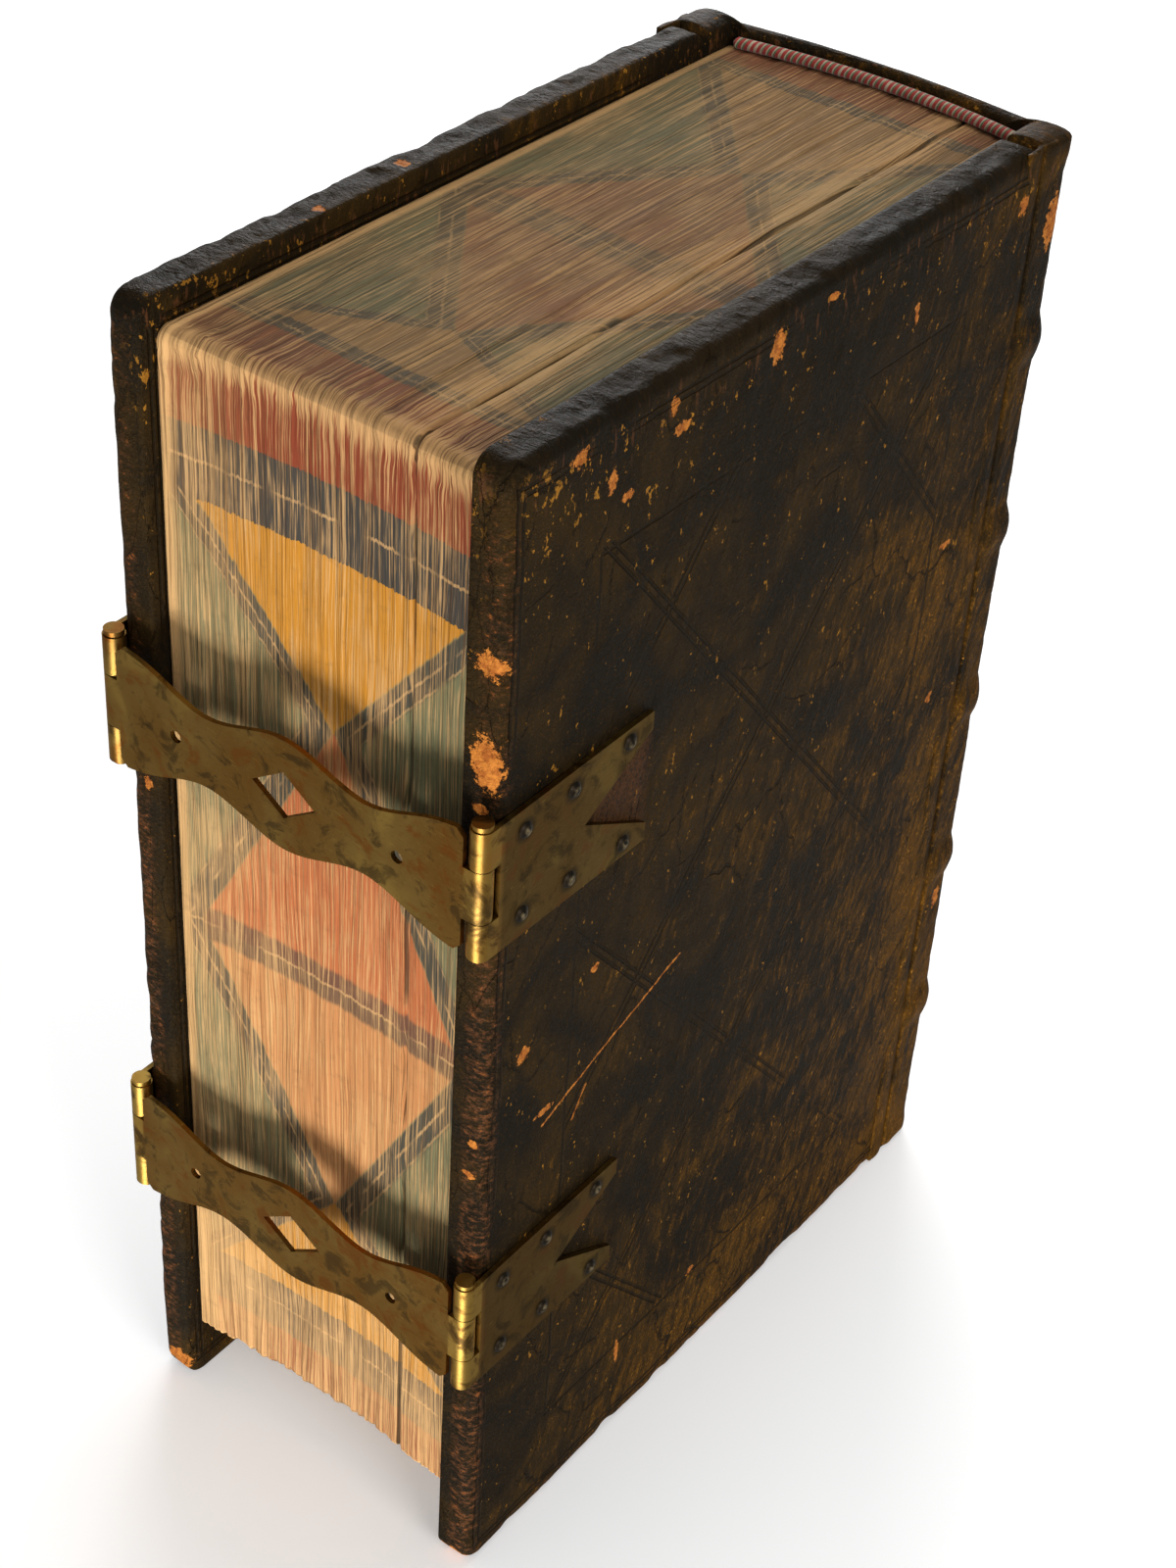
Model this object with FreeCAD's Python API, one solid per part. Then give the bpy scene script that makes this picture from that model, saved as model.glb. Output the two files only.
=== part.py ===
import FreeCAD, Part
import math
import os

# An antique leather-bound book with wooden boards and two hinged brass clasps.
# It stands on its tail edges. +Z is up, from tail to head. The spine is at +Y,
# the fore edge at -Y. The front board is at -X, the rear board at +X.
# The origin is the middle of the footprint, on the surface that it stands on.
# All sizes are in millimetres.

# Book
board_height = 205.0
board_width = 124.5
book_thickness = 67.5
head_square = 4.4
tail_square = 11.0
fore_square = 2.8
fore_hollow = 1.8
page_corner_radius = 2.2

# Boards, their leather and their paper
board_thickness = 6.5
leather_thickness = 1.0
turn_in_thickness = 0.4
turn_in_width = 13.0
board_corner_radius = 3.5
board_edge_radius = 2.0
board_inner_radius = 0.6

# Spine
joint_gap = 0.3
block_overhang = 6.1
spine_round = 3.0
spine_skin = 2.0
spine_shoulder = 8.2
spine_shoulder_radius = 3.0
spine_rim_radius = 0.8
band_count = 5
band_width = 7.0
band_height = 1.4
band_side_height = 0.8
band_edge_radius = 1.3
cord_radius = 1.2
headband_radius = 0.95
seat_gap = 0.03

# Clasps
upper_clasp_z = 142.5
lower_clasp_z = 57.5
sheet_thickness = 0.8
barrel_radius = 1.7
barrel_gap = 0.3
knuckle_height = 8.6
knuckle_gap = 0.15
seam_gap = 0.2
pin_clearance = 0.05
catch_pin_radius = 0.6
hook_wrap_deg = 72.0
pin_head_radius = 1.5
pin_head_height = 0.8
pin_foot_radius = 1.2
pin_foot_height = 0.5

# Anchor and catch plates
plate_height = 21.4
plate_length = 32.6
plate_tip_height = 22.2
plate_tip_width = 3.0
plate_notch_at = 18.0
nail_places = ((4.9, 7.1), (15.2, 7.6), (27.4, 8.7))
nail_head_radius = 1.3
nail_head_height = 0.65
nail_shank_radius = 0.5
nail_length = 4.6
nail_point = 1.4

# Straps
strap_end_half = 10.2
strap_corner = 1.2
strap_waist_half = 5.9
strap_waist_at = 14.5
strap_flare_half = 9.2
strap_flare_at = 25.0
strap_swell_half = 9.3
strap_setback = 1.8
strap_hole_radius = 1.0
strap_hole_at = 20.0
diamond_half_width = 5.7
diamond_half_height = 3.9

# Places that follow from the sizes
outer_x = book_thickness / 2
inner_x = outer_x - board_thickness
wood_inner_x = inner_x + turn_in_thickness
block_half = inner_x - joint_gap
front_reach = 2 * barrel_radius + barrel_gap
book_depth = (front_reach + board_width + joint_gap + block_overhang + spine_round
              + spine_skin + band_height)
fore_y = front_reach - book_depth / 2
spine_y = fore_y + board_width
shoulder_y = spine_y + joint_gap
back_y = shoulder_y + block_overhang
block_fore_y = fore_y + fore_square
block_top = board_height - head_square
arc_radius = (block_half ** 2 + spine_round ** 2) / (2 * spine_round)
arc_y = back_y + spine_round - arc_radius
band_pitch = board_height / (band_count + 1)
plate_face_x = outer_x + sheet_thickness
barrel_x = plate_face_x - barrel_radius
barrel_y = fore_y - barrel_gap - barrel_radius
bore_radius = barrel_radius - sheet_thickness
pin_radius = bore_radius - pin_clearance
strap_y = barrel_y - barrel_radius
strap_edge_x = barrel_x - strap_setback

X_AXIS = FreeCAD.Vector(1, 0, 0)
Y_AXIS = FreeCAD.Vector(0, 1, 0)
Z_AXIS = FreeCAD.Vector(0, 0, 1)


def vec(x, y, z):
    return FreeCAD.Vector(x, y, z)


def box(x0, x1, y0, y1, z0, z1):
    return Part.makeBox(x1 - x0, y1 - y0, z1 - z0, vec(x0, y0, z0))


def line(a, b):
    return Part.LineSegment(a, b).toShape()


def arc(a, middle, b):
    return Part.Arc(a, middle, b).toShape()


def face_of(edges):
    return Part.Face(Part.Wire(edges))


def edges_where(shape, test):
    return [edge for edge in shape.Edges if test(edge.BoundBox)]


def mirrored(shape):
    return shape.mirror(vec(0, 0, 0), X_AXIS)


def close(a, b):
    return abs(a - b) < 1e-4


# Boards and their coverings, drawn for the rear board at +X

def board_form(inset, inner_face):
    """A board with rounded corners, its outer edges rounded like a worn cover."""
    form = box(inner_face, outer_x - inset, fore_y + inset, spine_y - inset,
               inset, board_height - inset)
    corners = edges_where(form, lambda b: b.XLength > board_thickness / 2)
    form = form.makeFillet(board_corner_radius - inset, corners)
    rim = edges_where(form, lambda b: close(b.XMin, outer_x - inset))
    return form.makeFillet(board_edge_radius - inset, rim)


def wooden_board():
    return board_form(leather_thickness, wood_inner_x)


def pastedown():
    return box(inner_x, wood_inner_x, fore_y + turn_in_width, spine_y - leather_thickness,
               turn_in_width, board_height - turn_in_width)


def board_leather():
    """Leather over the board's outer face and edges, turned in on its inner face."""
    form = board_form(0, inner_x)
    inner_rim = edges_where(form, lambda b: close(b.XMax, inner_x))
    form = form.makeFillet(board_inner_radius, inner_rim)
    return form.cut(wooden_board()).cut(pastedown())


# Text block and spine

def text_block():
    """All the leaves as one block: hollow fore edge, rounded back, soft page corners."""
    top_z, low_z = block_top, tail_square
    fore_left = vec(-block_half, block_fore_y, low_z)
    fore_right = vec(block_half, block_fore_y, low_z)
    back_right = vec(block_half, back_y, low_z)
    back_left = vec(-block_half, back_y, low_z)
    outline = face_of([
        arc(fore_left, vec(0, block_fore_y + fore_hollow, low_z), fore_right),
        line(fore_right, back_right),
        arc(back_right, vec(0, back_y + spine_round, low_z), back_left),
        line(back_left, fore_left)])
    block = outline.extrude(vec(0, 0, top_z - low_z))
    corners = edges_where(block, lambda b: b.YMax < 0 and close(b.ZMin, b.ZMax))
    return block.makeFillet(page_corner_radius, corners)


def back_arcs(side, corner_y, crown_y, corner_radius, z):
    """The back's outer line: one wide arc through the crown, turned down by a smaller one
    at each side, where the wide arc would meet the side at corner_y."""
    rise = crown_y - corner_y
    wide_radius = (side ** 2 + rise ** 2) / (2 * rise)
    wide_y = crown_y - wide_radius
    centre_x = side - corner_radius
    centre_y = wide_y + math.sqrt((wide_radius - corner_radius) ** 2 - centre_x ** 2)
    turn = math.atan2(centre_y - wide_y, centre_x)

    def around(x, y, radius, angles):
        return [vec(x + radius * math.cos(a), y + radius * math.sin(a), z) for a in angles]

    corner = around(centre_x, centre_y, corner_radius, (0, turn / 2, turn))
    step = (math.pi / 2 - turn) / 4
    half = around(0, wide_y, wide_radius, [turn + step * count for count in range(5)])
    right = [arc(*corner), arc(*half[:3]), arc(*half[2:])]
    return right + [mirrored(edge) for edge in right[::-1]]


def spine_form(low_z, high_z, grow, side_grow):
    """The back's leather between two heights, wrapped round the block's back to the joints.

    For a band it stands proud of the back, and less so at its sides.
    """
    side = outer_x + side_grow
    arcs = back_arcs(side, shoulder_y + spine_shoulder + side_grow,
                     back_y + spine_round + spine_skin + grow,
                     spine_shoulder_radius + side_grow, low_z)
    start = arcs[0].Vertexes[0].Point
    end = vec(-start.x, start.y, start.z)
    outline = face_of(arcs + [
        line(end, vec(-side, shoulder_y, low_z)),
        line(vec(-side, shoulder_y, low_z), vec(-block_half, shoulder_y, low_z)),
        line(vec(-block_half, shoulder_y, low_z), vec(-block_half, back_y, low_z)),
        arc(vec(-block_half, back_y, low_z), vec(0, back_y + spine_round, low_z),
            vec(block_half, back_y, low_z)),
        line(vec(block_half, back_y, low_z), vec(block_half, shoulder_y, low_z)),
        line(vec(block_half, shoulder_y, low_z), vec(side, shoulder_y, low_z)),
        line(vec(side, shoulder_y, low_z), start)])
    form = outline.extrude(vec(0, 0, high_z - low_z))
    rims = edges_where(form, lambda b: close(b.ZMin, b.ZMax) and not close(b.YMin, b.YMax)
                       and max(b.XMax, -b.XMin) > block_half + seat_gap)
    return form.makeFillet(band_edge_radius if grow else spine_rim_radius, rims)


def band_heights():
    return [band_pitch * (number + 1) for number in range(band_count)]


def arc_reach(margin):
    """The angle from the middle of the back's arc to a margin before its end."""
    return math.degrees(math.asin((block_half - margin) / arc_radius))


def along_back(section, reach):
    """A section in the middle plane, carried along the back's arc to both sides."""
    section.rotate(vec(0, arc_y, 0), Z_AXIS, -reach)
    return section.revolve(vec(0, arc_y, 0), Z_AXIS, 2 * reach)


def arched_cord(radius, distance, z):
    """A round cord bent along the back's arc, its centre line at a distance from the arc."""
    centre = vec(0, arc_y + arc_radius + distance, z)
    disc = Part.Face(Part.Wire(Part.makeCircle(radius, centre, X_AXIS)))
    return along_back(disc, arc_reach(radius))


def sewing_cord(z):
    return arched_cord(cord_radius, cord_radius + seat_gap, z)


def cord_channel(z):
    """The channel of square section under a raised band, which a sewing cord lies in."""
    half = cord_radius + seat_gap
    inner = arc_y + arc_radius - seat_gap
    outer = inner + 2 * (half + seat_gap)
    corners = [(inner, -half), (outer, -half), (outer, half), (inner, half)]
    points = [vec(0, y, z + aside) for y, aside in corners]
    section = Part.Face(Part.makePolygon(points + points[:1]))
    return along_back(section, arc_reach(cord_radius - seat_gap))


def spine_leather():
    """The back's leather with its raised bands, hollowed over the sewing cords."""
    skin = spine_form(0, board_height, 0, 0)
    for z in band_heights():
        low, high = z - band_width / 2, z + band_width / 2
        skin = skin.fuse(spine_form(low, high, band_height, band_side_height))
    for z in band_heights():
        skin = skin.cut(cord_channel(z))
    return skin.removeSplitter()


def headband(z):
    return arched_cord(headband_radius, -headband_radius - seat_gap, z)


# Clasp metal, drawn around z = 0 for the rear board

def barrel(z0, z1):
    """One rolled knuckle around the pin line."""
    tube = Part.makeCylinder(barrel_radius, z1 - z0, vec(barrel_x, barrel_y, z0))
    return tube.cut(Part.makeCylinder(bore_radius, z1 - z0, vec(barrel_x, barrel_y, z0)))


def plate_outline():
    """The swallow-tail sheet, from the pin line to its two tips."""
    start, tip = barrel_y, fore_y + plate_length
    notch = fore_y + plate_notch_at
    half, tip_half = plate_height / 2, plate_tip_height / 2
    inner_half = tip_half - plate_tip_width
    corners = [(start, half), (tip, tip_half), (tip, inner_half), (notch, 0),
               (tip, -inner_half), (tip, -tip_half), (start, -half)]
    points = [vec(outer_x, y, z) for y, z in corners]
    return Part.Face(Part.makePolygon(points + points[:1]))


def nail_form(clearance):
    """A pointed nail with a domed head, its axis along X through y = 0, z = 0."""
    under_head = plate_face_x + clearance
    shank = nail_shank_radius + clearance
    end = plate_face_x - nail_length - clearance
    head = nail_head_radius
    dome = (head ** 2 + nail_head_height ** 2) / (2 * nail_head_height)
    half_angle = math.asin(head / dome) / 2
    crown = under_head + nail_head_height
    middle = vec(crown - dome * (1 - math.cos(half_angle)), dome * math.sin(half_angle), 0)
    profile = face_of([
        line(vec(end, 0, 0), vec(end + nail_point, shank, 0)),
        line(vec(end + nail_point, shank, 0), vec(under_head, shank, 0)),
        line(vec(under_head, shank, 0), vec(under_head, head, 0)),
        arc(vec(under_head, head, 0), middle, vec(crown, 0, 0)),
        line(vec(crown, 0, 0), vec(end, 0, 0))])
    return profile.revolve(vec(0, 0, 0), X_AXIS, 360)


def nails(clearance):
    """Six nails, in two rows that follow the plate's arms."""
    forms = []
    for along, aside in nail_places:
        for z in (aside, -aside):
            nail = nail_form(clearance)
            nail.translate(vec(0, fore_y + along, z))
            forms.append(nail)
    return Part.makeCompound(forms)


def hinge_plate():
    """Sheet and two rolled knuckles, with room for the strap's knuckle between them."""
    sheet = plate_outline().extrude(vec(sheet_thickness, 0, 0))
    half = plate_height / 2
    inner = knuckle_height / 2 + knuckle_gap
    plate = sheet
    for z0, z1 in ((-half, -inner), (inner, half)):
        plate = plate.fuse(barrel(z0, z1))
    plate = plate.cut(box(barrel_x - barrel_radius, plate_face_x, barrel_y - barrel_radius,
                          barrel_y + barrel_radius + knuckle_gap, -inner, inner))
    bore = Part.makeCylinder(bore_radius, plate_height, vec(barrel_x, barrel_y, -half))
    seam = box(outer_x - seam_gap, outer_x, barrel_y, barrel_y + barrel_radius, -half, half)
    return plate.cut(bore).cut(seam).cut(nails(seat_gap)).removeSplitter()


def hinge_pin(middle_radius):
    """A pin with a flat head above and a hammered foot below, waisted between the knuckles."""
    half = plate_height / 2
    inner = knuckle_height / 2 + knuckle_gap
    top = half + pin_clearance
    profile = [(0, -top - pin_foot_height), (pin_foot_radius, -top - pin_foot_height),
               (pin_foot_radius, -top), (pin_radius, -top), (pin_radius, -inner),
               (middle_radius, -inner), (middle_radius, inner), (pin_radius, inner),
               (pin_radius, top), (pin_head_radius, top),
               (pin_head_radius, top + pin_head_height), (0, top + pin_head_height)]
    if close(middle_radius, pin_radius):
        profile = profile[:4] + profile[8:]
    points = [vec(barrel_x + r, barrel_y, z) for r, z in profile]
    face = Part.Face(Part.makePolygon(points + points[:1]))
    return face.revolve(vec(barrel_x, barrel_y, 0), Z_AXIS, 360).removeSplitter()


def strap_edge_points():
    """Half the strap's outline, from the catch end to the hinge end."""
    return [(-strap_edge_x + strap_corner, strap_end_half), (-strap_flare_at, strap_flare_half),
            (-strap_waist_at, strap_waist_half), (0, strap_swell_half),
            (strap_waist_at, strap_waist_half), (strap_flare_at, strap_flare_half),
            (strap_edge_x - strap_corner, strap_end_half)]


def strap_sheet():
    """The flat of the strap: wide ends, two waists and a swell round the opening."""
    end_half = strap_end_half - strap_corner
    curves = []
    for side in (1, -1):
        points = [vec(x, strap_y, side * z) for x, z in strap_edge_points()]
        curve = Part.BSplineCurve()
        curve.interpolate(points)
        left = vec(-strap_edge_x, strap_y, side * end_half)
        right = vec(strap_edge_x, strap_y, side * end_half)
        curves.append([line(left, points[0]), curve.toShape(), line(points[-1], right)])
    ends = [line(vec(x, strap_y, -end_half), vec(x, strap_y, end_half))
            for x in (-strap_edge_x, strap_edge_x)]
    wire = Part.Wire(Part.__sortEdges__(curves[0] + curves[1] + ends))
    return Part.Face(wire).extrude(vec(0, sheet_thickness, 0))


def strap_openings():
    """The diamond in the middle and a round hole near each end."""
    corners = [(diamond_half_width, 0), (0, diamond_half_height),
               (-diamond_half_width, 0), (0, -diamond_half_height)]
    points = [vec(x, strap_y, z) for x, z in corners]
    cuts = [Part.Face(Part.makePolygon(points + points[:1])).extrude(vec(0, sheet_thickness, 0))]
    for x in (-strap_hole_at, strap_hole_at):
        cuts.append(Part.makeCylinder(strap_hole_radius, sheet_thickness, vec(x, strap_y, 0), Y_AXIS))
    return Part.makeCompound(cuts)


def strap_hook():
    """The open roll that drops over the catch pin, wrapped from the front to the side."""
    half = knuckle_height / 2
    ring = mirrored(barrel(-half, half))
    centre = vec(-barrel_x, barrel_y, -half)
    reach = 2 * barrel_radius
    start, end = math.radians(270), math.radians(270 - hook_wrap_deg)
    corners = [centre + vec(reach * math.cos(a), reach * math.sin(a), 0)
               for a in (start, (start + end) / 2, end)]
    wedge = Part.Face(Part.makePolygon([centre] + corners + [centre]))
    return ring.common(wedge.extrude(vec(0, 0, knuckle_height)))


def clasp_strap():
    """Strap with a closed knuckle at the rear board and an open hook at the front board."""
    half = knuckle_height / 2
    tongue = box(-barrel_x, barrel_x, strap_y, strap_y + sheet_thickness, -half, half)
    strap = strap_sheet().fuse(tongue).fuse(barrel(-half, half)).fuse(strap_hook())
    bore = Part.makeCylinder(bore_radius, knuckle_height, vec(barrel_x, barrel_y, -half))
    seam_y = strap_y + sheet_thickness
    seam = box(barrel_x - barrel_radius, barrel_x, seam_y, seam_y + seam_gap, -half, half)
    return strap.cut(bore).cut(seam).cut(strap_openings()).removeSplitter()


def raised(shape, z):
    """A copy of a clasp piece, moved up to its place."""
    copy = shape.copy()
    copy.translate(vec(0, 0, z))
    return copy


def clasp_parts():
    parts = {}
    rear = {"anchor_plate": hinge_plate(), "anchor_pin": hinge_pin(pin_radius),
            "anchor_nails": nails(0)}
    front = {"catch_plate": mirrored(hinge_plate()),
             "catch_pin": mirrored(hinge_pin(catch_pin_radius)),
             "catch_nails": mirrored(nails(0))}
    for place, z in (("upper", upper_clasp_z), ("lower", lower_clasp_z)):
        for pieces in (rear, front, {"clasp_strap": clasp_strap()}):
            for name, shape in pieces.items():
                parts[name + "_" + place] = raised(shape, z)
    return parts


def board_parts():
    """Boards and leather with holes for the nails, on both sides."""
    holes = Part.makeCompound([raised(nails(seat_gap), z) for z in (upper_clasp_z, lower_clasp_z)])
    rear = {"board": wooden_board().cut(holes), "leather": board_leather().cut(holes),
            "pastedown": pastedown()}
    parts = {}
    for name, shape in rear.items():
        parts["rear_" + name] = shape
        parts["front_" + name] = mirrored(shape)
    return parts


def block_parts():
    parts = {"text_block": text_block(), "spine_leather": spine_leather(),
             "head_band": headband(block_top + headband_radius),
             "tail_band": headband(tail_square - headband_radius)}
    for number, z in enumerate(band_heights(), start=1):
        parts["sewing_cord_%d" % number] = sewing_cord(z)
    return parts


def main():
    os.makedirs("parts", exist_ok=True)
    for parts in (block_parts(), board_parts(), clasp_parts()):
        for name, shape in parts.items():
            solids = shape.Solids
            whole = solids[0] if len(solids) == 1 else Part.makeCompound(solids)
            whole.exportStep("parts/%s.step" % name)
            print(name, len(solids), whole.isValid(), round(whole.Volume, 2))


main()
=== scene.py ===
import math

import bmesh
import bpy
import numpy as np
from mathutils import Matrix, Vector


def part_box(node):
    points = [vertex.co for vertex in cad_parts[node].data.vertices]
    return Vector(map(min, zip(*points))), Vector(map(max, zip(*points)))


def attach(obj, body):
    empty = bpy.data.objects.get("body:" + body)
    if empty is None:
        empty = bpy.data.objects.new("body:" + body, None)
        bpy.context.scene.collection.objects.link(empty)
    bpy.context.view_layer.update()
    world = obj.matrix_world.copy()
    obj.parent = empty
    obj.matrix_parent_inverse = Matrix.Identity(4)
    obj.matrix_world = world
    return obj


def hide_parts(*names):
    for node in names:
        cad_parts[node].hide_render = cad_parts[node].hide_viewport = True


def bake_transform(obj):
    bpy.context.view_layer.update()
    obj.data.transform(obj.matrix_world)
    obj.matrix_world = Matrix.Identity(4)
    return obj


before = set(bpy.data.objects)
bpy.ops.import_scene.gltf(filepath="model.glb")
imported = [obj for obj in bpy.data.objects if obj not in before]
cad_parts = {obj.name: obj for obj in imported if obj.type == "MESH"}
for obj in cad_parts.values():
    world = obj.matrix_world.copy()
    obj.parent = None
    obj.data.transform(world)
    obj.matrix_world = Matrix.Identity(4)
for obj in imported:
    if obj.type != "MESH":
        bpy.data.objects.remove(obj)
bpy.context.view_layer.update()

# Sizes and places, in millimetres, in the frame's axes
MM = 0.001
rear_low, rear_high = (np.array(corner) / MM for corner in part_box("rear_leather"))
block_low, block_high = (np.array(corner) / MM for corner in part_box("text_block"))
skin_low = np.array(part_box("spine_leather")[0]) / MM
OUTER_X = float(rear_high[0])
INNER_X = float(rear_low[0])
FORE_Y = float(rear_low[1])
SPINE_Y = float(rear_high[1])
HEIGHT = float(rear_high[2])
BOARD = OUTER_X - INNER_X
BLOCK_HALF = float(block_high[0])
BLOCK_FORE = float(block_low[1])
BLOCK_BACK = float(block_high[1])
BLOCK_LOW = float(block_low[2])
BLOCK_HIGH = float(block_high[2])
SHOULDER_Y = float(skin_low[1])
SPINE_ROUND = 3.0
SPINE_SKIN = 2.0
BACK_Y = BLOCK_BACK - SPINE_ROUND
SHOULDER = 8.2
SHOULDER_RADIUS = 3.0
FORE_HOLLOW = 1.8
PAGE_CORNER = 2.2
BAND_COUNT = 5
BAND_WIDTH = 7.0
BAND_RISE = 1.4
BAND_SIDE_RISE = 0.8
CAP_SAG = 1.5
TURN_IN = 13.0
BOARD_CORNER = 3.5
BOARD_EDGE = 2.0
BOARD_INNER = 0.6
SPLIT_X = 15.5
CLASP_MIDDLE = 100.0
CLASP_OFFSET = 42.5
FULL_TURN = 2 * math.pi
QUARTER_TURN = math.pi / 2
LATTICE_CELLS = 32


# Small tools for grids of points

def smooth(t):
    """The smooth step 3t^2 - 2t^3 of a value kept between 0 and 1."""
    t = np.clip(t, 0, 1)
    return t * t * (3 - 2 * t)


def lattice_noise(points, size, seed):
    """Noise from -1 to 1: random values on a cubic lattice of the given size, blended smoothly."""
    count = LATTICE_CELLS
    table = np.random.RandomState(seed).uniform(-1, 1, (count, count, count))
    cell = points / size
    base = np.floor(cell).astype(int)
    part = smooth(cell - base)
    total = np.zeros(points.shape[:-1])
    for dx in (0, 1):
        for dy in (0, 1):
            for dz in (0, 1):
                weight = ((part[..., 0] if dx else 1 - part[..., 0])
                          * (part[..., 1] if dy else 1 - part[..., 1])
                          * (part[..., 2] if dz else 1 - part[..., 2]))
                corner = (base + (dx, dy, dz)) % count
                total += weight * table[corner[..., 0], corner[..., 1], corner[..., 2]]
    return total


def rough_noise(points, size, seed, octaves=3):
    """Lattice noise summed over octaves, each half the size and half the height of the last."""
    return sum(lattice_noise(points, size / 2 ** n, seed + n) / 2 ** n for n in range(octaves))


def grid_faces(rows, columns, loop_rows=False, loop_columns=False, start=0):
    """Quads of a grid of points, closed on itself along rows or columns where asked."""
    r = np.arange(rows if loop_rows else rows - 1)
    c = np.arange(columns if loop_columns else columns - 1)
    r, c = np.meshgrid(r, c, indexing="ij")
    r2, c2 = (r + 1) % rows, (c + 1) % columns
    quads = np.stack([r * columns + c, r * columns + c2, r2 * columns + c2, r2 * columns + c], -1)
    return (quads.reshape(-1, 4) + start).tolist()


def tube_faces(rows, columns, loop_rows):
    """Quads of a tube of points, closed along its rows or along its columns, and its two ends."""
    faces = grid_faces(rows, columns, loop_rows=loop_rows, loop_columns=not loop_rows)
    index = np.arange(rows * columns).reshape(rows, columns)
    index = index if loop_rows else index.T[::-1]
    return faces + [index[:, 0].tolist(), index[::-1, -1].tolist()]


def make_piece(name, points, faces, attributes=None, flip=False):
    """A mesh object from points in millimetres, with smooth shading and outward faces."""
    if flip:
        faces = [face[::-1] for face in faces]
    mesh = bpy.data.meshes.new(name)
    mesh.from_pydata((np.asarray(points).reshape(-1, 3) * MM).tolist(), [], faces)
    for label, values in (attributes or {}).items():
        layer = mesh.attributes.new(label, "FLOAT", "POINT")
        layer.data.foreach_set("value", np.asarray(values, np.float32).ravel())
    mesh.polygons.foreach_set("use_smooth", [True] * len(mesh.polygons))
    mesh.update()
    piece = bpy.data.objects.new(name, mesh)
    bpy.context.scene.collection.objects.link(piece)
    return piece


def merge_doubles(piece):
    """Joins points that lie on one another, so that no face is without area."""
    form = bmesh.new()
    form.from_mesh(piece.data)
    bmesh.ops.remove_doubles(form, verts=form.verts, dist=1e-4 * MM)
    form.to_mesh(piece.data)
    form.free()
    return piece


# Materials: sockets that add and multiply like numbers

class Wire:
    """A socket in a material's tree, on which arithmetic makes nodes."""

    def __init__(self, tree, socket):
        self.tree, self.socket = tree, socket

    def math(self, operation, *others, clamp=False):
        node = self.tree.nodes.new("ShaderNodeMath")
        node.operation, node.use_clamp = operation, clamp
        for slot, value in zip(node.inputs, (self,) + others):
            put(self.tree, slot, value)
        return Wire(self.tree, node.outputs[0])

    def __add__(self, other):
        return self.math("ADD", other)

    def __sub__(self, other):
        return self.math("SUBTRACT", other)

    def __mul__(self, other):
        return self.math("MULTIPLY", other)

    def __truediv__(self, other):
        return self.math("DIVIDE", other)

    def abs(self):
        return self.math("ABSOLUTE")

    def min(self, other):
        return self.math("MINIMUM", other)

    def max(self, other):
        return self.math("MAXIMUM", other)

    def clamp(self):
        return self.math("ADD", 0.0, clamp=True)

    def step(self, low, high):
        """0 below low, 1 above high, smooth between; low may be the larger."""
        node = self.tree.nodes.new("ShaderNodeMapRange")
        node.interpolation_type = "SMOOTHSTEP"
        swapped = low > high
        put(self.tree, node.inputs["Value"], self)
        node.inputs["From Min"].default_value = min(low, high)
        node.inputs["From Max"].default_value = max(low, high)
        node.inputs["To Min"].default_value = 1.0 if swapped else 0.0
        node.inputs["To Max"].default_value = 0.0 if swapped else 1.0
        return Wire(self.tree, node.outputs[0])


def put(tree, slot, value):
    """Links a wire to a socket, or sets a number or colour on it."""
    if isinstance(value, Wire):
        tree.links.new(value.socket, slot)
    elif isinstance(value, (tuple, list)) and len(slot.default_value) == 4:
        slot.default_value = tuple(value[:3]) + (1.0,)
    else:
        slot.default_value = value


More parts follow.
